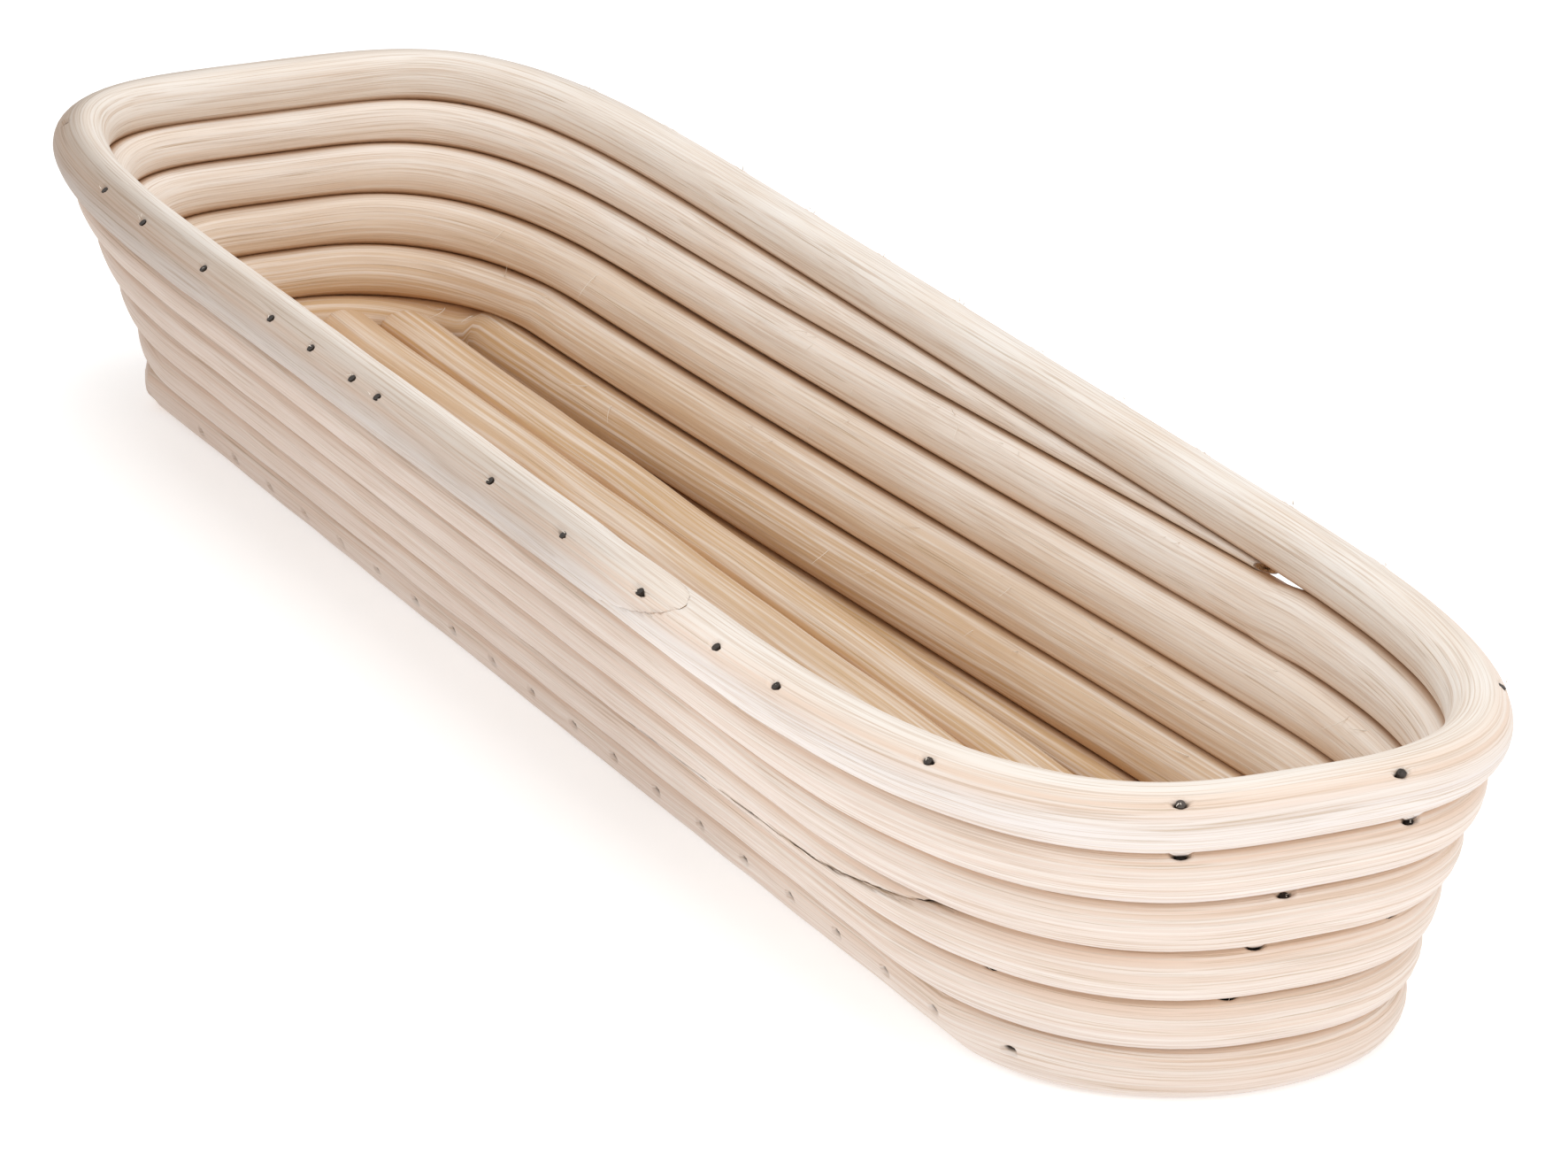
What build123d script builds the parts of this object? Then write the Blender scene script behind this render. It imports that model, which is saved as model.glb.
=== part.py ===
from build123d import *
from math import atan, cos, hypot, pi, sin, sqrt
import os

os.makedirs("parts", exist_ok=True)

# Driving dimensions, in mm. The basket stands on Z = 0 with its length along X. The near end is +X,
# the far end -X, the front -Y and the back +Y.
CANE = 9.0  # diameter of the floor and wall canes
RIM_CANE = 9.3  # diameter of the rim cane, slightly thicker
COURSES = 6  # courses of cane up the wall: 1 is the base ring and 6 is the rim
RIM_HALF_LENGTH = 205.0  # to the centre line of the rim cane
RIM_HALF_WIDTH = 50.4
RIM_HEIGHT = 48.3
BASE_HALF_LENGTH = 190.5  # to the centre line of the base ring
BASE_HALF_WIDTH = 29.8
FOOT_FLAT = 0.25  # the floor canes are rubbed flat by this depth where they stand
FOOT_CLEARANCE = 0.05  # height of the base ring's underside over the ground
GAP = 0.1  # clear space left where one cane is thinned to make room for another

# Each outline has straight sides and a superellipse at each end. An end is how far the curve reaches
# along X, and squareness is the superellipse's exponent: 2 is an ellipse, and more is squarer.
NEAR_END = {"rim": 114.0, "base": 34.0}
FAR_END = {"rim": 122.0, "base": 24.0}
NEAR_SQUARENESS = {"rim": 3.0, "base": 2.15}
FAR_SQUARENESS = {"rim": 3.6, "base": 1.8}

# One turn of the spiral is counted in steps, clockwise from the middle of the far end.
END_STEPS = 10  # from the middle of an end to the start of a side
SIDE_STEPS = 24
HALF_TURN = 2 * END_STEPS + SIDE_STEPS
TURN = 2 * HALF_TURN
CLIMB_STEPS = END_STEPS + HALF_TURN  # a course is climbed from the far front corner to the near end

TIP_STEP = 5  # the wall's first cane starts as a thin tip on the floor, in the far back corner
TIP_THICKNESS = 0.8
TIP_GROWTH = 1.2  # how much the tip thickens at each step, until it fills its room
TIP_ROOM = 9.0  # room under the next pass once it has climbed a whole course
WALL_LAP = (2 * TURN + HALF_TURN + 7, 2 * TURN + HALF_TURN + 12)  # on the front of course 3
BLUNT_STEP = 5 * TURN + END_STEPS + SIDE_STEPS + 0.22  # the wall's last cane is cut off here
RIM_LAP = (HALF_TURN + 9, HALF_TURN + 15)  # where the ends of the rim cane meet, on the front
LAP_END = 0.6  # thickness of each cane's end in a lap
SECTION_SPACING = 6.0  # between the sections drawn along each bent cane

FLOOR_CANES = 5
FLOOR_PITCH = 9.8

FRONT_RIM_BRADS = [39, 42.5, 46.5, 49.5, 51.5, 52.5, 54, 58, 62, 68.5, 70, 72.5, 75, 78.5, 80, 81, 83]
RIM_BRAD_SPACING = 30.0  # along the back
BASE_BRAD_SPACING = 17.0
BRAD = 1.4  # shank diameter
BRAD_LENGTH = 12.0
BRAD_SUNK = 0.3  # depth of the brad's head below the cane's surface
RIM_BRAD_RISE = pi * 0.35  # how far up the cane's outer shoulder a brad's head is
SEAM_BRAD_RISE = pi * 0.3


def between(low, high, share):
    return low + (high - low) * share


def eased(share):
    """Goes from 0 to 1 nearly in a straight line, with a softened start and end."""
    share = min(max(share, 0.0), 1.0)
    return between(share, share * share * (3 - 2 * share), 0.5)


def corner_point(course, ends, squarenesses, turned):
    """Centre line of a course from the middle of an end (turned 0) to the start of a side (turned 1)."""
    share = (course - 1) / (COURSES - 1)
    end = between(ends["base"], ends["rim"], share)
    power = between(squarenesses["base"], squarenesses["rim"], share)
    straight = between(BASE_HALF_LENGTH, RIM_HALF_LENGTH, share) - end
    half_width = between(BASE_HALF_WIDTH, RIM_HALF_WIDTH, share)
    along, across = abs(cos(turned * pi / 2)), abs(sin(turned * pi / 2))
    reach = (along**power + across**power) ** (-1 / power)
    return straight + end * reach * along, half_width * reach * across


def plan_point(course, step):
    """Centre line of a course in plan, step counted clockwise from the middle of the far end."""
    step = step % TURN
    back = 1 if step <= HALF_TURN else -1
    from_far = min(step, TURN - step)
    from_near = HALF_TURN - from_far
    if from_far <= END_STEPS:
        x, y = corner_point(course, FAR_END, FAR_SQUARENESS, from_far / END_STEPS)
        x = -x
    elif from_near <= END_STEPS:
        x, y = corner_point(course, NEAR_END, NEAR_SQUARENESS, from_near / END_STEPS)
    else:
        far_x, y = corner_point(course, FAR_END, FAR_SQUARENESS, 1)
        near_x, y = corner_point(course, NEAR_END, NEAR_SQUARENESS, 1)
        x = between(-far_x, near_x, (from_far - END_STEPS) / SIDE_STEPS)
    return x, back * y


def height(course):
    return between(CANE / 2 + FOOT_CLEARANCE, RIM_HEIGHT, (course - 1) / (COURSES - 1))


def course_point(course, step):
    return Vector(*plan_point(course, step), height(course))


def heading(course, step):
    return (course_point(course, step + 0.5) - course_point(course, step - 0.5)).normalized()


def outward(course, step):
    return Vector(0, 0, 1).cross(heading(course, step)).normalized()


COURSE_SPACING = (course_point(2, 0) - course_point(1, 0)).length
WALL_LEAN = (RIM_HALF_WIDTH - BASE_HALF_WIDTH) / (RIM_HEIGHT - height(1))


def up_the_wall(course, step):
    return (outward(course, step) * WALL_LEAN + Vector(0, 0, 1)).normalized()


def spiral_course(step):
    """Each turn climbs one course, mostly along the back; the first and the last pass stay level."""
    turns, part = divmod(step + END_STEPS, TURN)
    return min(max(turns + eased(part / CLIMB_STEPS), 1), COURSES - 1)


def spiral_point(step):
    return course_point(spiral_course(step), step)


def section_plane(course, step, raised=0.0):
    """Plane square to a course, raised up the wall from its centre line."""
    up = up_the_wall(course, step)
    along = heading(course, step)
    return Plane(course_point(course, step) + up * raised, x_dir=up.cross(along), z_dir=along)


def section_width(cane, thickness):
    """Width of a cane thinned from one side, measured halfway through what is left."""
    return sqrt(thickness * (2 * cane - thickness))


def over_lap(step, lap, cane):
    """Thickness of the cane on top in a lap, which is whole from one step after it."""
    share = (step - lap[0]) / (lap[1] - lap[0])
    full = cane - GAP - LAP_END
    return between(LAP_END, full, share) if share < 1 else between(full, cane, min(step - lap[1], 1))


def under_lap(step, lap, cane):
    """Thickness of the cane below in a lap, which is whole until one step before it."""
    if step < lap[0]:
        return between(cane, cane - GAP - LAP_END, max(step - lap[0] + 1, 0))
    return cane - GAP - over_lap(step, lap, cane)


def lower_section(step):
    """Plane and thickness of the lower wall cane at a step. Its first pass lies on the ground, thin
    where the next pass is still low over it, and its end goes under the upper cane in the lap."""
    course = spiral_course(step)
    if step > HALF_TURN:
        thickness = under_lap(step, WALL_LAP, CANE)
        return section_plane(course, step, (thickness - CANE) / 2), thickness
    rise = spiral_course(step + TURN) - course
    thickness = min(CANE, TIP_THICKNESS + TIP_GROWTH * (step - TIP_STEP), rise * TIP_ROOM)
    lean = atan(WALL_LEAN * rise)
    width = section_width(CANE, thickness)
    middle = hypot(width / 2 * sin(lean), thickness / 2 * cos(lean)) + FOOT_CLEARANCE
    up = outward(course, step) * sin(lean) + Vector(0, 0, cos(lean))
    centre = Vector(*plan_point(course, step), middle)
    return Plane(centre, x_dir=up.cross(heading(course, step)), z_dir=heading(course, step)), thickness


def upper_section(step):
    """Plane and thickness of the upper wall cane at a step."""
    course = spiral_course(step)
    thickness = over_lap(step, WALL_LAP, CANE)
    if step > 4 * TURN:
        thickness = min(CANE, (course - spiral_course(step - TURN)) * COURSE_SPACING - GAP)
    return section_plane(course, step, (CANE - thickness) / 2), thickness


def rim_section(step):
    """Plane and thickness of the rim cane at a step, counted from its upper end to its lower one."""
    if step < TURN:
        thickness = over_lap(step, RIM_LAP, RIM_CANE)
        return section_plane(COURSES, step, (RIM_CANE - thickness) / 2), thickness
    thickness = under_lap(step - TURN, RIM_LAP, RIM_CANE)
    return section_plane(COURSES, step, (thickness - RIM_CANE) / 2), thickness


def even_steps(course, first, last, spacing):
    """Steps from the first to the last, both included, at an even spacing in mm along a course."""
    walked = [0.0]
    tried = [first]
    while tried[-1] < last:
        step = min(tried[-1] + 0.02, last)
        walked.append(walked[-1] + (course_point(course, step) - course_point(course, tried[-1])).length)
        tried.append(step)
    count = round(walked[-1] / spacing)
    wanted = [walked[-1] * number / count for number in range(count)]
    return [next(step for step, mm in zip(tried, walked) if mm >= want) for want in wanted] + [last]


def ring_gap(x, y):
    """Distance in plan from a point to the centre line of the base ring."""
    points = [plan_point(1, quarter / 4) for quarter in range(4 * TURN)]
    return min(hypot(point[0] - x, point[1] - y) for point in points)


def floor_reach(y, direction):
    """How far along X a point of the floor at Y can go before it meets the base ring."""
    x = BASE_HALF_LENGTH / 2
    while ring_gap(direction * (x + 0.25), y) > CANE / 2 + GAP:
        x += 0.25
    return direction * x


def brad_plane(course, step, rise):
    """Start of a brad on the outer shoulder of a course, pointing down into the course below. The
    rise is the angle from the side of the cane up to the brad's head."""
    out = outward(course, step)
    up = up_the_wall(course, step)
    start = course_point(course, step) + (out * cos(rise) + up * sin(rise)) * (CANE / 2 - BRAD_SUNK)
    return Plane(start, z_dir=out * -0.2 - up * 0.98)


def base_brad_plane(step):
    """Start of a brad on the outside of the base ring, pointing level into the floor canes."""
    out = outward(1, step)
    return Plane(course_point(1, step) + out * (CANE / 2 - BRAD_SUNK), z_dir=-out)


# Brads, row by row. The rim is nailed all round, the courses below it here and there.
rim_brad_steps = even_steps(COURSES, 1.5, 36, RIM_BRAD_SPACING) + FRONT_RIM_BRADS
brad_rows = {
    "rim_brads": [brad_plane(COURSES, step, RIM_BRAD_RISE) for step in rim_brad_steps],
    "course_5_brads": [brad_plane(5, step, SEAM_BRAD_RISE) for step in (42, 46.5, 53, 66.5, 68.5)],
    "course_4_brads": [brad_plane(4, step, SEAM_BRAD_RISE) for step in (44.5, 80)],
    "course_3_brads": [brad_plane(3, step, SEAM_BRAD_RISE) for step in (41.5, 45)],
    "course_2_brads": [brad_plane(2, step, SEAM_BRAD_RISE) for step in (45.5, 50.5)],
    "base_ring_brads": [base_brad_plane(step) for step in even_steps(1, 51, 77.5, BASE_BRAD_SPACING)],
}

for name, planes in brad_rows.items():
    with BuildPart() as brads:
        with Locations(*planes):
            Cylinder(BRAD / 2, BRAD_LENGTH, align=(Align.CENTER, Align.CENTER, Align.MIN))
    brads.part.label = name
    export_step(brads.part, f"parts/{name}.step")

# Floor: straight canes side by side, cut at each end to meet the base ring.
for number in range(FLOOR_CANES):
    middle = (number - (FLOOR_CANES - 1) / 2) * FLOOR_PITCH
    left, right = middle - CANE / 2, middle + CANE / 2
    with BuildPart() as floor_cane:
        with BuildSketch(Plane.YZ.offset(-BASE_HALF_LENGTH)):
            with Locations((middle, CANE / 2 - FOOT_FLAT)):
                Circle(CANE / 2)
        extrude(amount=2 * BASE_HALF_LENGTH)
        with BuildSketch():
            with BuildLine():
                Polyline(
                    (floor_reach(left, -1), left),
                    (floor_reach(left, 1), left),
                    (floor_reach(right, 1), right),
                    (floor_reach(right, -1), right),
                    close=True,
                )
            make_face()
        extrude(amount=2 * CANE, mode=Mode.INTERSECT)
    floor_cane.part.label = f"floor_cane_{number + 1}"
    export_step(floor_cane.part, f"parts/floor_cane_{number + 1}.step")

# Lower wall cane: from the tip, round the base and on up to the lap on the front of course 3.
with BuildPart() as wall_cane_lower:
    for step in reversed(even_steps(2, TIP_STEP, WALL_LAP[1], SECTION_SPACING)):
        plane, thickness = lower_section(step)
        with BuildSketch(plane):
            Ellipse(section_width(CANE, thickness) / 2, thickness / 2)
    loft(ruled=True)
wall_cane_lower.part.label = "wall_cane_lower"
export_step(wall_cane_lower.part, "parts/wall_cane_lower.step")

# Upper wall cane: from the lap to its blunt end under the rim.
with BuildPart() as wall_cane_upper:
    for step in even_steps(4, WALL_LAP[0], BLUNT_STEP, SECTION_SPACING):
        plane, thickness = upper_section(step)
        with BuildSketch(plane):
            Ellipse(section_width(CANE, thickness) / 2, thickness / 2)
    loft(ruled=True)
wall_cane_upper.part.label = "wall_cane_upper"
export_step(wall_cane_upper.part, "parts/wall_cane_upper.step")

# Rim: one cane bent into a ring, its two ends lapped on the front.
with BuildPart() as rim_cane:
    for step in even_steps(COURSES, RIM_LAP[0], TURN + RIM_LAP[1], SECTION_SPACING):
        plane, thickness = rim_section(step)
        with BuildSketch(plane):
            Ellipse(section_width(RIM_CANE, thickness) / 2, thickness / 2)
    loft(ruled=True)
rim_cane.part.label = "rim_cane"
export_step(rim_cane.part, "parts/rim_cane.step")
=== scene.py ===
import math
from collections import namedtuple

import bpy
import numpy as np
from mathutils import Matrix, Vector


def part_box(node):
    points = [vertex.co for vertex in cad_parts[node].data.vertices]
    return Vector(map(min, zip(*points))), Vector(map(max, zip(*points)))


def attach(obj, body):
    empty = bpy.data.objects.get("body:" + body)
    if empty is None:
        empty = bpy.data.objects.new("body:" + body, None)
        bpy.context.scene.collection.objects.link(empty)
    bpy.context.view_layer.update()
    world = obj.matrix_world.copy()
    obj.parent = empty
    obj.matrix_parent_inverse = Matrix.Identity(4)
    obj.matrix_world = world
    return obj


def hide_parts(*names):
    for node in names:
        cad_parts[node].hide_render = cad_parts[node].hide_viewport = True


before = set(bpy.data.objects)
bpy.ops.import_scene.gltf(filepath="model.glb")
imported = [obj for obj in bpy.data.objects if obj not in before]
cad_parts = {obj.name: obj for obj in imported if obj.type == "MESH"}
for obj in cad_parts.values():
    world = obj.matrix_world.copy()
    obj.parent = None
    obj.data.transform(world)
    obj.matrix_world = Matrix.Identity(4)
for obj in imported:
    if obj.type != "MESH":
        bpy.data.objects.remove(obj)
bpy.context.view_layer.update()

dice = np.random.default_rng(11)

# Driving dimensions, in metres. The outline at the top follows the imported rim.
CANE = 0.0095
RIM_CANE = 0.0098
COURSES = 6
rim_low, rim_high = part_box("rim_cane")
RIM_HALF_LENGTH = rim_high.x - RIM_CANE / 2
RIM_HALF_WIDTH = (rim_high.y - rim_low.y) / 2 - RIM_CANE / 2
RIM_HEIGHT = rim_high.z - RIM_CANE / 2 + 0.0001
BASE_HALF_LENGTH = RIM_HALF_LENGTH - 0.0126
BASE_HALF_WIDTH = RIM_HALF_WIDTH - 0.0194
BASE_HEIGHT = 0.0047
GROUND = 0.00002  # lowest height of any cane

# Each end of the outline, at the base and at the rim: how far its curve reaches along X, and its
# superellipse exponent.
NEAR_REACH = (0.0339, 0.1141)
FAR_REACH = (0.0198, 0.1274)
NEAR_POWER = (2.13, 3.02)
FAR_POWER = (1.6, 4.0)
BOW = 0.06  # how much the wall bulges outwards between base and rim, as a share of its flare

# Places along a cane are counted in quarters, clockwise from the middle of the near end: 0 to 1 is the
# near front corner, 1 to 2 the front, 2 to 4 the far end, 4 to 5 the back and 5 to 6 the near back
# corner. The next turn goes on from 6.
TURN = 6
QUARTER_STEP = 0.004
CLIMB_START = -0.97  # X at which the climb along the back starts, as a share of the rim's half length
FAR_CLIMB = 0.147  # how much of a course is already climbed at the far end
FRONT_PACE = 1.7  # pace of the climb at the front; at 1 it would take the whole length of the basket
BACK_PACE = 0.9  # the same at the back
TIP = -2.62  # start of the first cane, on the floor in the far back corner
TIP_LENGTH = 0.28
TIP_THICKNESS = 0.12  # as a share of the cane
WALL_LAP = (12.62, 13.45)
WALL_LAP_GAP = 0.0002
RIM_LAP = (0.93, 1.20)
RIM_LAP_OVERLAP = 0.00003
UNCUT = 1.0  # a height that no section reaches, where a cane is left whole
BLUNT = 29.02  # end of the last cane, under the rim
BLUNT_X = 0.1075
GAP_LENGTH = 0.016  # the gap beyond the blunt end is nearly closed again this far along X
GAP_CLOSING = 0.9  # share of the gap that the cane below fills there
PRESSING = 1.008  # neighbouring canes are this much taller than their spacing

SEGMENTS = 72
RING_STEP = 0.003
BRAD_RING_STEP = 0.00032
SMALLEST_RING_STEP = 0.00012
CAP_SHARES = (0.75, 0.45, 0.15)
CAP_ROUGHNESS = 0.00008

# Pocket round each brad: its reach along and across the cane, its depth and its raised edge.
POCKET_LENGTH = 0.0016
POCKET_WIDTH = 0.00068
POCKET_DEPTH = 0.0011
POCKET_EDGE = 0.00012
POCKET_LIMIT = 0.0024  # points further than this from a brad's head are left alone
BRAD_REACH = 0.0062  # a cane whose centre line passes this close to a brad's head gets extra rings there

# How the floor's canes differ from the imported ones.
FLOOR_SPREAD = 1.02
FLOOR_SHIFT = -0.0006
FLOOR_DROP = 0.00015
FLOOR_THINNER = 0.00012
FLOOR_WIDER = 0.00035
FLOOR_CUT = 0.00005  # height of the lowest part that is kept

# Which sides of a cane touch other canes, and how rough its cut faces are.
Kind = namedtuple("Kind", "below above beside ragged")
WALL = Kind(1, 1, 0, 0.0002)
RIM = Kind(1, 0, 0, 0.00002)
FLOOR = Kind(0, 0, 1, 0.00012)


def between(low, high, share):
    return low + (high - low) * share


def smooth(share):
    share = np.clip(share, 0, 1)
    return share * share * (3 - 2 * share)


def fade(value, start, end):
    """Goes smoothly from 0 at the start to 1 at the end."""
    return smooth((value - start) / (end - start))


def unit(vectors):
    return vectors / np.linalg.norm(vectors, axis=1)[:, None]


def square_to(vectors, heading):
    """The part of each vector that is square to the heading."""
    return vectors - heading * (vectors * heading).sum(1)[:, None]


def outline(level, quarters):
    """Plan position of the centre line of a course, for arrays of levels and quarters."""
    share = (level - 1) / (COURSES - 1)
    share = share + BOW * share * (1 - share)
    half_length = between(BASE_HALF_LENGTH, RIM_HALF_LENGTH, share)
    half_width = between(BASE_HALF_WIDTH, RIM_HALF_WIDTH, share)
    near_reach = between(*NEAR_REACH, share)
    far_reach = between(*FAR_REACH, share)
    quarters = np.mod(quarters, TURN)
    side = np.where(quarters < TURN / 2, -1.0, 1.0)
    from_near = np.minimum(quarters, TURN - quarters)
    near = from_near <= 1
    far = from_near >= 2
    turned = np.where(near, from_near, np.where(far, 3 - from_near, 1.0))
    along = np.abs(np.cos(turned * math.pi / 2))
    across = np.abs(np.sin(turned * math.pi / 2))
    power = np.where(near, between(*NEAR_POWER, share), between(*FAR_POWER, share))
    reach = (along**power + across**power) ** (-1 / power)
    near_x = half_length - near_reach
    far_x = -(half_length - far_reach)
    side_x = between(near_x, far_x, from_near - 1)
    far_end_x = far_x - far_reach * reach * along
    x = np.where(near, near_x + near_reach * reach * along, np.where(far, far_end_x, side_x))
    y = half_width * np.where(near | far, reach * across, 1.0) * side
    return x, y


def place(level, quarters):
    """Centre line of a course, one row for each quarter given."""
    x, y = outline(level, quarters)
    z = between(BASE_HEIGHT, RIM_HEIGHT, (level - 1) / (COURSES - 1))
    return np.stack([x, y, z + 0 * x], axis=1)


def wall_level(quarters):
    """Course reached by the wall's cane. Each turn is level along the front and climbs at the back."""
    turns, part = np.divmod(quarters, TURN)
    start = turns + 1
    x = outline(np.clip(start, 1, COURSES - 1), quarters)[0]
    forward = (x / RIM_HALF_LENGTH - CLIMB_START) / (-2 * CLIMB_START)
    front = start + FAR_CLIMB * (1 - smooth(forward * FRONT_PACE))
    rise = smooth(forward * BACK_PACE) / smooth(BACK_PACE)
    back = start + FAR_CLIMB + (1 - FAR_CLIMB) * rise
    return np.clip(np.where(part < TURN / 2, front, back), 1, COURSES - 1)


def wall_span(quarters):
    """Lowest and highest course of the wall cane's section. The first and the last pass are squeezed
    by the passes over and under them. Past the blunt end the cane below swells towards the rim."""
    level = wall_level(quarters)
    first_pass = quarters < 0
    last_pass = quarters > (COURSES - 2) * TURN
    below = np.where(first_pass, 0.5, wall_level(quarters - TURN) + 0.5)
    above = np.where(last_pass, COURSES - 0.5, wall_level(quarters + TURN) - 0.5)
    low = np.where(last_pass, np.maximum(level - 0.5, below), level - 0.5)
    high = np.where(first_pass, np.minimum(level + 0.5, above), level + 0.5)
    under_gap = (quarters > (COURSES - 2) * TURN - 2) & (quarters < (COURSES - 2) * TURN)
    x = outline(level, quarters)[0]
    closing = under_gap * fade(x, BLUNT_X, BLUNT_X + GAP_LENGTH)
    return low, high + (COURSES - 0.5 - high) * GAP_CLOSING * closing


def wobble(distance, wave, seed):
    """Slow irregular variation between about -1 and 1 along a cane."""
    phases = np.random.default_rng(seed).uniform(0, 2 * math.pi, 5)
    waves = [wave * factor for factor in (1.0, 0.61, 0.37, 1.83, 0.23)]
    return sum(np.sin(2 * math.pi * distance / w + p) for w, p in zip(waves, phases)) / 2.4


def islands(mesh):
    """Points of a mesh, grouped by the closed shape that they belong to."""
    parent = list(range(len(mesh.vertices)))

    def find(index):
        while parent[index] != index:
            parent[index] = parent[parent[index]]
            index = parent[index]
        return index

    for edge in mesh.edges:
        parent[find(edge.vertices[0])] = find(edge.vertices[1])
    spots = {}
    for vertex in mesh.vertices:
        spot = tuple(round(value, 5) for value in vertex.co)
        if spot in spots:
            parent[find(vertex.index)] = find(spots[spot])
        spots[spot] = vertex.index
    groups = {}
    for vertex in mesh.vertices:
        groups.setdefault(find(vertex.index), []).append(vertex.co.copy())
    return groups.values()


def brad_heads(node):
    """Head position and inward direction of every brad of a CAD node. A brad's head is the end that
    is further out or higher."""
    heads = []
    for points in islands(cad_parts[node].data):
        middle = sum(points, Vector()) / len(points)
        outer = [p for p in points if Vector(p.xy).length + p.z > Vector(middle.xy).length + middle.z]
        inner = [p for p in points if p not in outer]
        head = sum(outer, Vector()) / len(outer)
        tail = sum(inner, Vector()) / len(inner)
        heads.append((head, (tail - head).normalized()))
    return heads


BRAD_NODES = [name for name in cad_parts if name.endswith("brads")]
brads = [brad for name in BRAD_NODES for brad in brad_heads(name)]


def new_object(name, points, faces, smooth_shaded=True):
    mesh = bpy.data.meshes.new(name)
    mesh.from_pydata(points, [], faces)
    mesh.validate()
    if smooth_shaded:
        mesh.polygons.foreach_set("use_smooth", [True] * len(mesh.polygons))
    piece = bpy.data.objects.new(name, mesh)
    bpy.context.scene.collection.objects.link(piece)
    return piece


def ring_distances(centres, walked):
    """Distances along a cane at which it gets a ring of points: even, and closer beside a brad."""
    rings = list(np.arange(0, walked[-1], RING_STEP)) + [walked[-1]]
    for head, _ in brads:
        gaps = np.linalg.norm(centres - np.array(head), axis=1)
        nearest = int(gaps.argmin())
        if gaps[nearest] < BRAD_REACH:
            rings += [walked[nearest] + number * BRAD_RING_STEP for number in range(-7, 8)]
    rings = np.unique(np.clip(np.round(rings, 6), 0, walked[-1]))
    return rings[np.concatenate([[True], np.diff(rings) > SMALLEST_RING_STEP])]


def section(rings, wide, high, heading, angles, seed, kind):
    """Positions across and up a cane, one row for each ring. A section is an oval that is fuller
    where canes are pressed together, most of all on the outside of the front, with a low ripple."""
    turns = angles[None, :]
    ripple = sum(
        height * np.sin(count * turns + 2.2 * wobble(rings, 0.16, seed + count)[:, None])
        for count, height in ((3, 0.008), (5, 0.006), (8, 0.004), (13, 0.0025))
    )
    turn_cos = np.cos(turns)
    turn_sin = np.sin(turns)
    along_front = np.maximum(-heading[:, 0:1], 0)
    pressed = along_front * (turn_cos > 0) * (1 - kind.beside)
    power = 2 / (2.08 + 0.36 * kind.above + 0.45 * pressed)
    across = wide[:, None] * np.sign(turn_cos) * np.abs(turn_cos) ** power * (1 + ripple)
    raised = high[:, None] * np.sign(turn_sin) * np.abs(turn_sin) ** power
    return across, raised


def cut_flat(across, raised, wide, high, kept, ragged):
    """Cuts sections off flat outside the heights that are kept. It also returns which points lie on
    a cut, as 0 or 1."""
    low, top = kept
    rough = ragged * dice.standard_normal(raised.shape)
    cut = ((raised < low) | (raised > top)).astype(float)
    raised = np.clip(raised, low, top)
    reach = wide[:, None] * np.sqrt(np.clip(1 - (raised / high[:, None]) ** 2, 0, 1))
    across = np.where(cut > 0, np.clip(across, -reach, reach), across)
    return across, raised + rough * cut, cut


def dent_for_brads(points, heading):
    """Sinks the surface round each brad's head, with a low raised edge. It returns how deep in a
    pocket each point is, from 0 to 1."""
    pocket = np.zeros(points.shape[:2])
    for head, inward in brads:
        gaps = points - np.array(head)
        close = np.linalg.norm(gaps, axis=2) < POCKET_LIMIT
        if not close.any():
            continue
        rows, columns = np.nonzero(close)
        gap = gaps[rows, columns]
        down = np.array(inward)
        flow = heading[rows]
        lengthways = (gap * flow).sum(1)
        crossways = np.linalg.norm(np.cross(flow, gap - down * (gap @ down)[:, None]), axis=1)
        radius = np.hypot(lengthways / POCKET_LENGTH, crossways / POCKET_WIDTH)
        sunk = smooth(1.25 - radius)
        lifted = np.exp(-(((radius - 1.35) / 0.3) ** 2))
        points[rows, columns] += down * (POCKET_DEPTH * sunk - POCKET_EDGE * lifted)[:, None]
        pocket[rows, columns] = np.maximum(pocket[rows, columns], sunk)
    return pocket


def end_cap(outer, points, heading, free):
    """Closes a cane's end with ever smaller, slightly rough rings. outer numbers the end's points and
    free is the first unused number. It returns the rings, their faces and the innermost ring's numbers."""
    middle = points.mean(0)
    rings = []
    faces = []
    for share in CAP_SHARES:
        ring = middle + (points - middle) * share
        rings.append(ring + heading * CAP_ROUGHNESS * dice.standard_normal((SEGMENTS, 1)))
        inner = np.arange(free, free + SEGMENTS)
        free += SEGMENTS
        strip = np.stack([outer, inner, np.roll(inner, -1), np.roll(outer, -1)], axis=1)
        faces += strip.tolist()
        outer = inner
    return rings, faces, outer.tolist()


def cane_mesh(name, points, heading):
    """A closed tube through rings of points. It returns the piece and all its points, the ends' last."""
    count = len(points)
    grid = np.arange(count * SEGMENTS).reshape(count, SEGMENTS)
    turned = np.roll(grid, -1, axis=1)
    quads = np.stack([grid[:-1], turned[:-1], turned[1:], grid[1:]], axis=2).reshape(-1, 4)
    free = count * SEGMENTS
    start_rings, start_faces, start_middle = end_cap(grid[0], points[0], heading[0], free)
    free += len(CAP_SHARES) * SEGMENTS
    end_rings, end_faces, end_middle = end_cap(grid[-1], points[-1], heading[-1], free)
    all_points = np.concatenate([points.reshape(-1, 3)] + start_rings + end_rings)
    faces = quads.tolist() + start_faces + [start_middle[::-1]] + end_faces + [end_middle]
    return new_object(name, all_points.tolist(), faces), all_points


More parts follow.
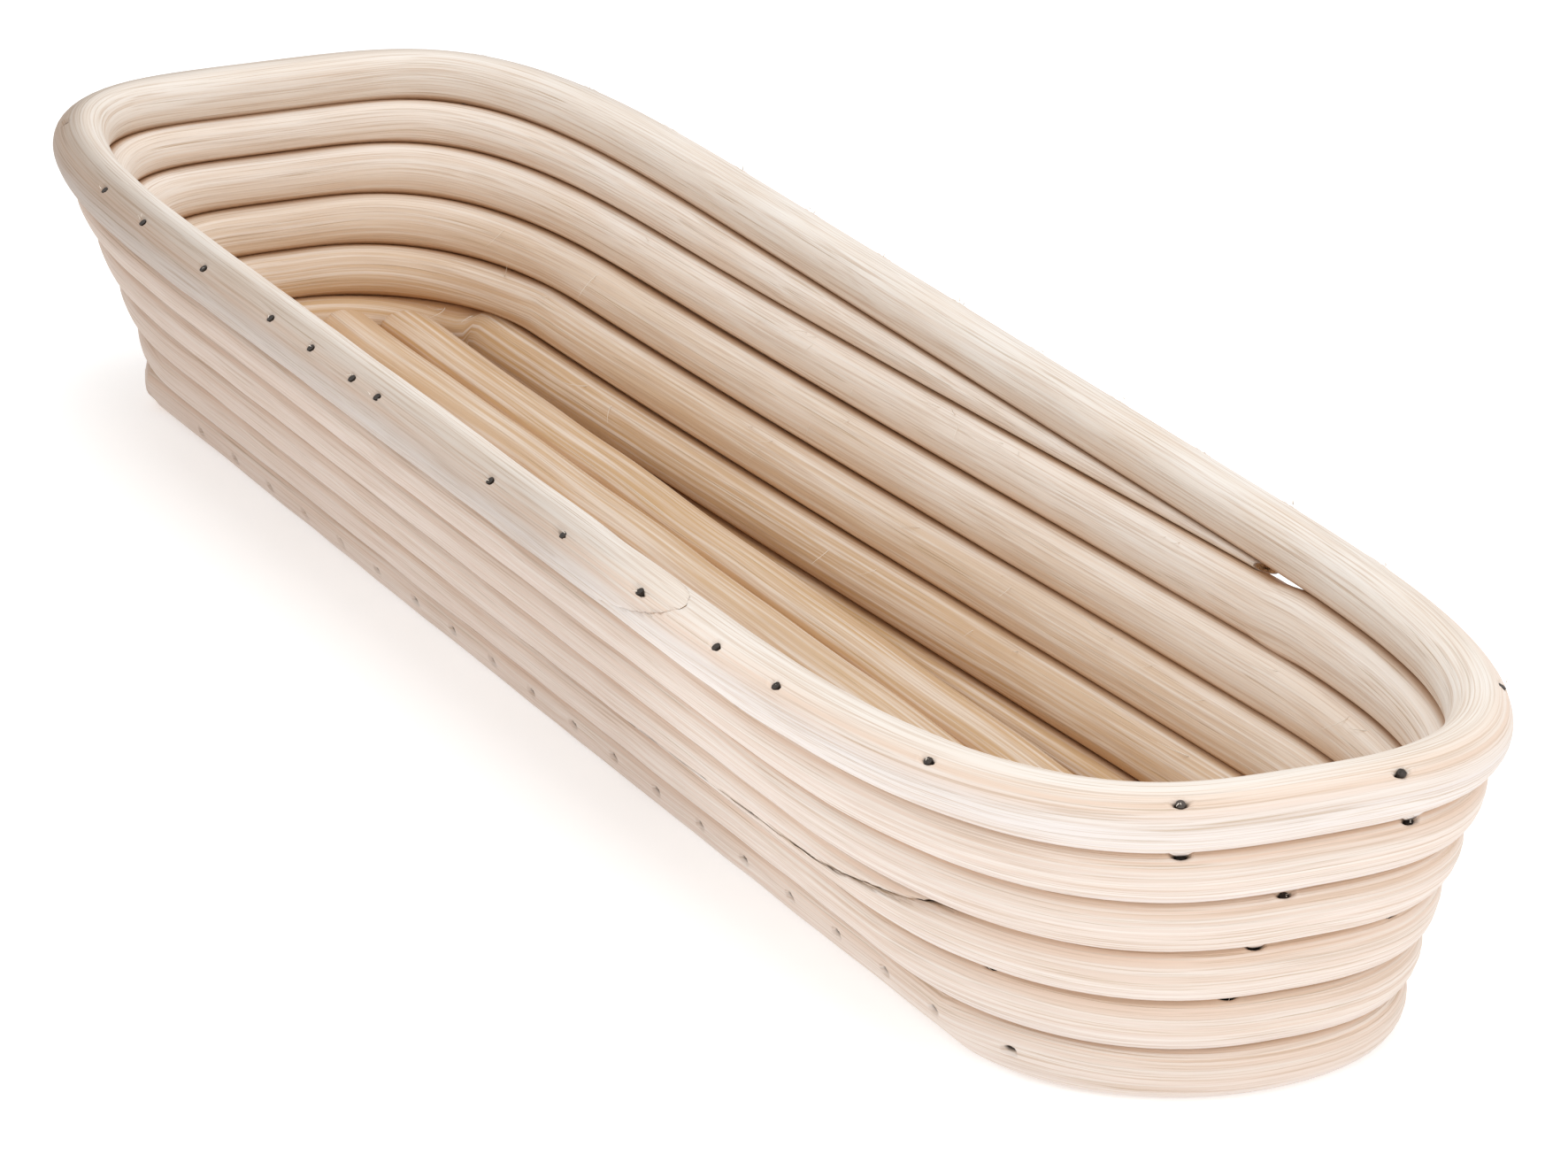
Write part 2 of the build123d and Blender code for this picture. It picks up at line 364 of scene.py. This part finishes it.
def tones(points, angles, kind):
    """Values from 0 to 1 that the material colours by: how near to a seam and how deep inside the basket,
    for painted shade;
    how far on the outside; how far up the cane, for painted shade on each course; and how far the front's
    outside lies in painted shade."""
    x, y, z = (points[..., axis] for axis in range(3))
    turn_cos = np.cos(angles)[None, :]
    turn_sin = np.sin(angles)[None, :]
    # Closeness to a seam, where painted shade goes.
    seam = np.maximum(kind.below * -turn_sin, kind.above * turn_sin)
    # Painted shade low inside the basket: stronger lower down, on the inner side of the wall canes and
    # towards the back of the floor.
    depth = np.clip(1 - z / RIM_HEIGHT, 0, 1)
    floor_depth = between(0.55, 1.0, fade(y, -0.02, 0.02))
    wall_depth = smooth(0.5 - turn_cos * 0.9)
    outside = 1 - kind.beside
    # Painted shade on the front's outside, growing from the rim's lap towards the far end.
    dull = 0.6 * fade(x, 0.115, 0.04) + 0.4 * fade(x, 0.0, -0.2)
    front = np.maximum(fade(y, 0.02, -0.02), 0.7 * fade(x, -0.12, -0.2))
    return {
        "seam": np.maximum(seam, kind.beside * np.abs(turn_cos)),
        "inside_shade": depth * (floor_depth if kind.beside else wall_depth),
        "outer": smooth(0.2 + turn_cos * 1.2) * outside,
        "lift": turn_sin * 0.5 + 0.5,
        "dull": dull * front * smooth(0.85 + turn_cos) * outside,
    }


def add_attribute(piece, name, kind, values):
    field = "vector" if kind == "FLOAT_VECTOR" else "value"
    attribute = piece.data.attributes.new(name, kind, "POINT")
    attribute.data.foreach_set(field, np.asarray(values, np.float32).ravel())


def sweep_cane(name, centres, ups, half_widths, half_heights, kept, seed, kind):
    """A cane along a centre line. kept is the lowest and the highest height that is kept at each point
    of the centre line, and ups points up its section."""
    walked = np.concatenate([[0], np.cumsum(np.linalg.norm(np.diff(centres, axis=0), axis=1))])
    rings = ring_distances(centres, walked)
    centre = np.stack([np.interp(rings, walked, centres[:, axis]) for axis in range(3)], 1)
    up = np.stack([np.interp(rings, walked, ups[:, axis]) for axis in range(3)], 1)
    heading = unit(np.gradient(centre, rings, axis=0))
    up = unit(square_to(up, heading))
    out = np.cross(up, heading)
    wide = np.interp(rings, walked, half_widths) * (1 + 0.010 * wobble(rings, 0.09, seed))
    high = np.interp(rings, walked, half_heights)
    angles = np.arange(SEGMENTS) * 2 * math.pi / SEGMENTS - math.pi / 2
    across, raised = section(rings, wide, high, heading, angles, seed, kind)
    kept = [np.interp(rings, walked, edge)[:, None] for edge in kept]
    across, raised, cut = cut_flat(across, raised, wide, high, kept, kind.ragged)
    points = centre[:, None, :] + out[:, None, :] * across[..., None] + up[:, None, :] * raised[..., None]
    points[..., 2] = np.maximum(points[..., 2], GROUND)
    pocket = dent_for_brads(points, heading)
    piece, all_points = cane_mesh(name, points, heading)

    grain = all_points.copy()
    along = np.broadcast_to(rings[:, None], raised.shape)
    grain[: points[..., 0].size] = np.stack([across, raised, along], axis=2).reshape(-1, 3)
    add_attribute(piece, "grain", "FLOAT_VECTOR", grain + np.array([0, 0, seed * 1.7]))
    values = tones(points, angles, kind)
    values["pocket"] = pocket
    values["torn"] = cut * kind.ragged / WALL.ragged
    end_points = len(all_points) - points[..., 0].size
    for value_name, value in values.items():
        tube = np.broadcast_to(value, raised.shape).ravel()
        add_attribute(piece, value_name, "FLOAT", np.concatenate([tube, np.zeros(end_points)]))
    add_attribute(piece, "cut_end", "FLOAT", np.concatenate([np.zeros(raised.size), np.ones(end_points)]))
    return piece


def slant(quarters, lap):
    """Height of a lap's slanted cut, from 1 at the top of the cane where it starts to -1."""
    return 1 - 2 * (quarters - lap[0]) / (lap[1] - lap[0])


def wall_cane(name, first, last, seed):
    """One cane of the wall. The first starts with a tip and ends in the lap, under the second."""
    quarters = np.append(np.arange(first, last, QUARTER_STEP), last)
    low, high = wall_span(quarters)
    level = (low + high) / 2
    centres = place(level, quarters)
    ups = place(level + 0.4, quarters) - place(level - 0.4, quarters)
    ups = square_to(ups, unit(np.gradient(centres, axis=0)))
    pitch = np.linalg.norm(ups, axis=1) / 0.8
    share = np.clip(high - low, 0.02, 1.25)
    if first == TIP:
        share = share * np.maximum(fade(quarters, TIP, TIP + TIP_LENGTH), TIP_THICKNESS)
    half_heights = share * pitch / 2 * PRESSING
    half_widths = CANE / 2 * np.sqrt(share * (2 - share))
    kept_low = np.full(len(quarters), -UNCUT)
    kept_high = np.full(len(quarters), UNCUT)
    cut = slant(quarters, WALL_LAP)
    if first == TIP:
        first_pass = quarters < 0
        centres[:, 2] -= ((high - low) * pitch / 2 - half_heights) * first_pass
        ups[:, :2] *= np.where(first_pass, share, 1.0)[:, None]
        kept_high = np.where(cut < 1, cut * half_heights - WALL_LAP_GAP, kept_high)
    else:
        kept_low = np.where(cut > -1, cut * half_heights + WALL_LAP_GAP, kept_low)
    return sweep_cane(name, centres, ups, half_widths, half_heights, (kept_low, kept_high), seed, WALL)


def rim_ring(name, seed):
    """The rim's cane, whose start lies over its end in a lap."""
    last = TURN + RIM_LAP[1]
    quarters = np.append(np.arange(RIM_LAP[0], last, QUARTER_STEP), last)
    level = np.full(len(quarters), float(COURSES))
    centres = place(level, quarters)
    ups = centres - place(level - 0.8, quarters)
    radius = np.full(len(quarters), RIM_CANE / 2)
    start = slant(quarters, RIM_LAP)
    end = slant(quarters - TURN, RIM_LAP)
    kept_low = np.where(start > -1, start * radius - RIM_LAP_OVERLAP, -UNCUT)
    kept_high = np.where(end < 1, end * radius + RIM_LAP_OVERLAP, UNCUT)
    return sweep_cane(name, centres, ups, radius, radius, (kept_low, kept_high), seed, RIM)


def floor_cane(node, seed):
    """A straight cane whose ends run into the base ring."""
    low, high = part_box(node)
    middle = (low.y + high.y) / 2 * FLOOR_SPREAD + FLOOR_SHIFT
    ring_x, ring_y = outline(np.ones(1201), np.linspace(0, TURN, 1201))
    beside = np.abs(ring_y - middle) < 0.0006
    x = np.arange(ring_x[beside].min() + 0.0015, ring_x[beside].max() - 0.0015, 0.002)
    bend = 0.00025 * wobble(x, 0.21, seed)
    z = BASE_HEIGHT - FLOOR_DROP
    centres = np.stack([x, middle + bend, np.full(len(x), z)], axis=1)
    ups = np.tile([0.0, 0.0, 1.0], (len(x), 1))
    half_heights = np.full(len(x), CANE / 2 - FLOOR_THINNER)
    half_widths = np.full(len(x), CANE / 2 + FLOOR_WIDER)
    kept = (np.full(len(x), FLOOR_CUT - z), np.full(len(x), UNCUT))
    return sweep_cane(node + "_look", centres, ups, half_widths, half_heights, kept, seed, FLOOR)


def fibre(start, aim, length, thickness, points, faces):
    """Adds a thin curled fibre, thinning to its end, to the lists of points and faces."""
    rings = 7
    sides = 5
    aim = Vector(aim).normalized()
    curl = Vector(dice.normal(0, 1, 3)).cross(aim).normalized()
    side = aim.cross(curl)
    bend = dice.uniform(0.1, 0.7)
    first = len(points)
    for number in range(rings):
        share = number / (rings - 1)
        middle = Vector(start) + aim * length * share + curl * length * bend * share * share
        radius = thickness * (1 - 0.75 * share)
        for corner in range(sides):
            angle = corner * math.tau / sides
            points.append(middle + (curl * math.cos(angle) + side * math.sin(angle)) * radius)
    for ring in range(first, first + (rings - 1) * sides, sides):
        for corner in range(sides):
            a = ring + corner
            b = ring + (corner + 1) % sides
            faces.append((a, b, b + sides, a + sides))
    faces.append(tuple(range(first, first + sides))[::-1])
    faces.append(tuple(range(first + sides * (rings - 1), first + sides * rings)))


def wall_spot(level, quarter, ahead):
    """Place on the wall, and the direction to the place a little ahead."""
    spot = place(level, np.array([quarter]))[0]
    further = place(level, np.array([quarter + ahead]))[0]
    return Vector(spot), Vector(further - spot).normalized()


def loose_fibres():
    """Loose fibres standing out of the seams inside, along the wall's lap and beside the brads."""
    points = []
    faces = []
    upwards = Vector((0, 0, 1))
    for _ in range(90):
        course = int(dice.integers(0, 5))
        quarter = dice.uniform(3.6, 5.3)
        level = wall_level(np.array([quarter + TURN * course])) + 0.5
        if level[0] > 5.3:
            continue
        spot, along = wall_spot(level, quarter, 0.01)
        inward = -upwards.cross(along)
        start = spot + inward * dice.uniform(0.0032, 0.0042)
        aim = inward * dice.uniform(0.4, 1.2) + along * dice.uniform(-1.2, 1.2)
        aim += upwards * dice.uniform(-0.9, 0.4)
        fibre(start, aim, dice.uniform(0.0020, 0.0070), dice.uniform(0.00006, 0.00011), points, faces)
    for quarter in dice.uniform(WALL_LAP[0] - 0.02, WALL_LAP[1] + 0.05, 26):
        level = wall_level(np.array([quarter])) + 0.45 * slant(quarter, WALL_LAP)
        spot, along = wall_spot(level, quarter, -0.01)
        outward = upwards.cross(along)
        start = spot + outward * 0.0042
        aim = along + outward * dice.uniform(0.05, 0.3) + upwards * dice.uniform(-0.2, 0.2)
        fibre(start, aim, dice.uniform(0.001, 0.004), dice.uniform(0.00005, 0.00010), points, faces)
    for head, inward in brads:
        for _ in range(2):
            start = head + Vector(dice.normal(0, 0.0005, 3)) - inward * 0.0001
            aim = inward * -0.5 + Vector(dice.normal(0, 0.6, 3))
            fibre(start, aim, dice.uniform(0.0005, 0.0009), 0.00010, points, faces)
    return new_object("loose_fibres", [tuple(point) for point in points], faces)


lower = wall_cane("wall_cane_lower_look", TIP, WALL_LAP[1], 1)
upper = wall_cane("wall_cane_upper_look", WALL_LAP[0], BLUNT, 2)
rim = rim_ring("rim_cane_look", 3)
floors = [floor_cane(f"floor_cane_{number}", 3 + number) for number in range(1, 6)]
canes = [lower, upper, rim] + floors
for piece in canes:
    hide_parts(piece.name.replace("_look", ""))
    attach(piece, "root")

loose = loose_fibres()
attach(loose, "root")


class Nodes:
    """Adds nodes to a material and joins them, to keep the materials below readable."""

    def __init__(self, name):
        self.material = bpy.data.materials.new(name)
        self.material.use_nodes = True
        self.tree = self.material.node_tree
        self.shader = self.tree.nodes["Principled BSDF"]

    def add(self, kind, inputs=None, **settings):
        node = self.tree.nodes.new(kind)
        for key, value in settings.items():
            setattr(node, key, value)
        for key, value in (inputs or {}).items():
            self.put(node.inputs[key], value)
        return node

    def put(self, socket, value):
        if isinstance(value, bpy.types.NodeSocket):
            self.tree.links.new(value, socket)
        else:
            socket.default_value = value

    def shade(self, **inputs):
        """Sets the shader's inputs. An underscore stands for a space in an input's name."""
        for key, value in inputs.items():
            self.put(self.shader.inputs[key.replace("_", " ")], value)

    def attribute(self, name, output="Fac"):
        return self.add("ShaderNodeAttribute", attribute_name=name).outputs[output]

    def stretched(self, vector, scale):
        node = self.add("ShaderNodeMapping", {"Vector": vector})
        node.inputs["Scale"].default_value = scale
        return node.outputs["Vector"]

    def noise(self, vector, scale, detail=2.0, roughness=0.5):
        inputs = {"Vector": vector, "Scale": scale, "Detail": detail, "Roughness": roughness}
        return self.add("ShaderNodeTexNoise", inputs).outputs["Fac"]

    def ramp(self, value, low, high, start=0.0, end=1.0):
        inputs = {"Value": value, "From Min": low, "From Max": high, "To Min": start, "To Max": end}
        return self.add("ShaderNodeMapRange", inputs).outputs["Result"]

    def mix(self, share, a, b, blend="MIX"):
        node = self.add("ShaderNodeMix", data_type="RGBA", blend_type=blend)
        self.put(node.inputs[0], share)
        self.put(node.inputs[6], a)
        self.put(node.inputs[7], b)
        return node.outputs[2]

    def math(self, operation, a, b=0.0):
        node = self.add("ShaderNodeMath", operation=operation)
        self.put(node.inputs[0], a)
        self.put(node.inputs[1], b)
        return node.outputs[0]


# Colours shared by all canes.
# Painted shade low inside the basket.
DEEP_SHADE = (0.55, 0.32, 0.11, 1)
# Painted shade under each course on the outside, and painted warm shade on the upper part of each course.
UNDER_COURSE_SHADE = (0.75, 0.71, 0.71, 1)
OVER_COURSE_WARM_SHADE = (0.88, 0.65, 0.49, 1)
STREAK = (0.72, 0.54, 0.40, 1)
STRAND = (0.93, 0.87, 0.81, 1)
FIBRE = (0.58, 0.41, 0.28, 1)
LINE = (0.52, 0.36, 0.20, 1)
# Painted shade in the seams.
SEAM_SHADE = (0.58, 0.33, 0.15, 1)
TORN = (0.42, 0.27, 0.15, 1)
PORE = (0.42, 0.20, 0.08, 1)
CUT_END = (0.74, 0.46, 0.22, 1)
# Painted shade in the pocket round each brad.
POCKET_SHADE = (0.045, 0.030, 0.022, 1)


def rattan_material(name, inside_tones, outside_tones, shaded):
    """Peeled cane: fibres, strands and streaks along it, with painted shade: warmer and darker in the
    seams and low inside, greyish or peach on each course's outside, nearly black in brad pockets and
    darker on the front's outside.
    """
    m = Nodes(name)
    grain = m.attribute("grain", "Vector")
    fibres = m.noise(m.stretched(grain, (1, 1, 0.008)), 3600.0, 2.0, 0.6)
    strands = m.noise(m.stretched(grain, (1, 1, 0.010)), 1500.0, 2.0, 0.55)
    streaks = m.noise(m.stretched(grain, (1, 1, 0.014)), 620.0, 2.0, 0.5)
    lines = m.noise(m.stretched(grain, (1, 1, 0.009)), 3000.0, 1.0, 0.5)
    patches = m.ramp(m.noise(m.stretched(grain, (0.6, 0.6, 1)), 24.0, 2.0, 0.5), 0.35, 0.65)
    pores = m.noise(grain, 5200.0, 1.0, 0.5)
    outer = m.attribute("outer")
    lift = m.attribute("lift")

    inside = m.mix(patches, *inside_tones)
    # Painted shade: low inside, the colour turns to a deep warm brown.
    inside = m.mix(m.ramp(m.attribute("inside_shade"), 0.22, 0.95), inside, DEEP_SHADE)
    outside = m.mix(patches, *outside_tones)
    # Painted shade on the outside: greyish on the lower part of each course, warm peach on its upper part
    # under the seam above.
    outside = m.mix(m.ramp(lift, 0.05, 0.50, 0.75, 0.0), outside, UNDER_COURSE_SHADE)
    outside = m.mix(m.ramp(lift, 0.65, 0.95, 0.0, 0.75), outside, OVER_COURSE_WARM_SHADE)
    colour = m.mix(outer, inside, outside)
    colour = m.mix(m.ramp(streaks, 0.45, 0.70, 0.0, 0.24), colour, STREAK)
    colour = m.mix(m.ramp(strands, 0.42, 0.64, 0.0, 0.55), colour, STRAND)
    colour = m.mix(m.ramp(fibres, 0.48, 0.68, 0.0, 0.55), colour, FIBRE)
    colour = m.mix(m.ramp(lines, 0.66, 0.74, 0.0, 0.45), colour, LINE)
    # Painted shade: the front's outside is darkened towards the shaded colour.
    colour = m.mix(m.ramp(m.attribute("dull"), 0.0, 1.0, 0.0, 0.85), colour, shaded, "MULTIPLY")
    # Painted shade in the seams, strongest on the inside.
    seam = m.math("MULTIPLY", m.ramp(m.attribute("seam"), 0.76, 0.99), m.ramp(outer, 0.0, 1.0, 0.85, 0.25))
    colour = m.mix(seam, colour, SEAM_SHADE)
    torn = m.math("MULTIPLY", m.attribute("torn"), m.ramp(fibres, 0.4, 0.6, 0.2, 0.8))
    colour = m.mix(torn, colour, TORN)
    colour = m.mix(m.attribute("cut_end"), colour, m.mix(m.ramp(pores, 0.45, 0.6), PORE, CUT_END))
    # Painted shade: the pocket round each brad is nearly black.
    colour = m.mix(m.ramp(m.attribute("pocket"), 0.35, 0.75), colour, POCKET_SHADE)

    height = m.math("ADD", m.math("MULTIPLY", fibres, 0.5), m.math("MULTIPLY", strands, 0.9))
    height = m.math("SUBTRACT", height, m.ramp(lines, 0.64, 0.74, 0.0, 0.5))
    bump = m.add("ShaderNodeBump", {"Strength": 0.6, "Distance": 0.00015, "Height": height})
    m.shade(Base_Color=colour, Roughness=m.ramp(strands, 0.3, 0.7, 0.50, 0.66), Specular_IOR_Level=0.3)
    m.shade(Normal=bump.outputs["Normal"])
    return m.material


def plain_material(name, colour, roughness, metallic, scale, spread, glow=0.0):
    """One colour with slight clouds in it. spread is how much darker the clouds are."""
    m = Nodes(name)
    cloudy = m.noise(m.add("ShaderNodeTexCoord").outputs["Object"], scale, 3.0, 0.6)
    darker = tuple(channel * (1 - spread) for channel in colour[:3]) + (1,)
    m.shade(Base_Color=m.mix(m.ramp(cloudy, 0.35, 0.65), darker, colour), Metallic=metallic)
    m.shade(Roughness=m.ramp(cloudy, 0.3, 0.7, roughness - 0.08, roughness + 0.08))
    m.shade(Emission_Color=(1, 1, 1, 1), Emission_Strength=glow)
    return m.material


rattan = rattan_material(
    "rattan",
    ((0.93, 0.85, 0.77, 1), (0.90, 0.78, 0.67, 1)),
    ((0.84, 0.72, 0.64, 1), (0.81, 0.67, 0.58, 1)),
    (0.66, 0.60, 0.56, 1),
)
rim_rattan = rattan_material(
    "rim_rattan",
    ((0.92, 0.86, 0.79, 1), (0.89, 0.79, 0.69, 1)),
    ((0.87, 0.81, 0.78, 1), (0.84, 0.76, 0.71, 1)),
    (0.42, 0.36, 0.31, 1),
)
for piece in canes:
    piece.data.materials.append(rim_rattan if piece == rim else rattan)
loose.data.materials.append(plain_material("fibre", (0.90, 0.82, 0.72, 1), 0.6, 0.0, 900.0, 0.15))
steel = plain_material("brad_steel", (0.10, 0.085, 0.075, 1), 0.5, 0.8, 2500.0, 0.5)
for name in BRAD_NODES:
    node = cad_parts[name]
    node.data.materials.clear()
    node.data.materials.append(steel)


def camera():
    """The camera looks at the basket from its near end, a little from the front and from above."""
    azimuth, elevation, roll = (math.radians(angle) for angle in (24.897, 19.315, -0.126))
    distance = 1.30772
    target = Vector((0.01037, 0.00763, 0.01918))
    level = math.cos(elevation)
    back = Vector((math.cos(azimuth) * level, -math.sin(azimuth) * level, math.sin(elevation)))
    right = Vector((0, 0, 1)).cross(back).normalized()
    turn = Matrix((right, back.cross(right), back)).transposed().to_4x4()
    data = bpy.data.cameras.new("camera")
    data.sensor_width = 36
    data.lens = 182.84
    data.clip_end = 10
    eye = bpy.data.objects.new("camera", data)
    bpy.context.scene.collection.objects.link(eye)
    eye.matrix_world = Matrix.Translation(target + back * distance) @ turn @ Matrix.Rotation(roll, 4, "Z")
    bpy.context.scene.camera = eye


def lamp(name, location, size, power):
    """A square soft light that points at the basket."""
    data = bpy.data.lights.new(name, "AREA")
    data.size = size
    data.energy = power
    light = bpy.data.objects.new(name, data)
    bpy.context.scene.collection.objects.link(light)
    light.location = location
    light.rotation_mode = "QUATERNION"
    light.rotation_quaternion = (-Vector(location)).to_track_quat("-Z", "Y")


def studio():
    """Pale floor, white surroundings and soft lights."""
    side = 6
    corners = [(-side, -side, 0), (side, -side, 0), (side, side, 0), (-side, side, 0)]
    floor = new_object("floor", corners, [(0, 1, 2, 3)], False)
    floor.location.z = -0.0002
    paper = plain_material("floor", (0.82, 0.82, 0.82, 1), 0.75, 0.0, 3.0, 0.02, glow=0.42)
    floor.data.materials.append(paper)
    world = bpy.data.worlds.new("studio")
    bpy.context.scene.world = world
    world.use_nodes = True
    world.node_tree.nodes["Background"].inputs["Color"].default_value = (1, 1, 1, 1)
    world.node_tree.nodes["Background"].inputs["Strength"].default_value = 0.68
    lamp("key", (1.5, -0.1, 1.1), 0.9, 5.2)
    lamp("top", (0.0, 0.1, 1.9), 1.4, 13.0)
    lamp("front", (-0.2, -1.8, 0.7), 1.4, 1.0)
    bpy.context.scene.view_settings.view_transform = "Standard"


camera()
studio()
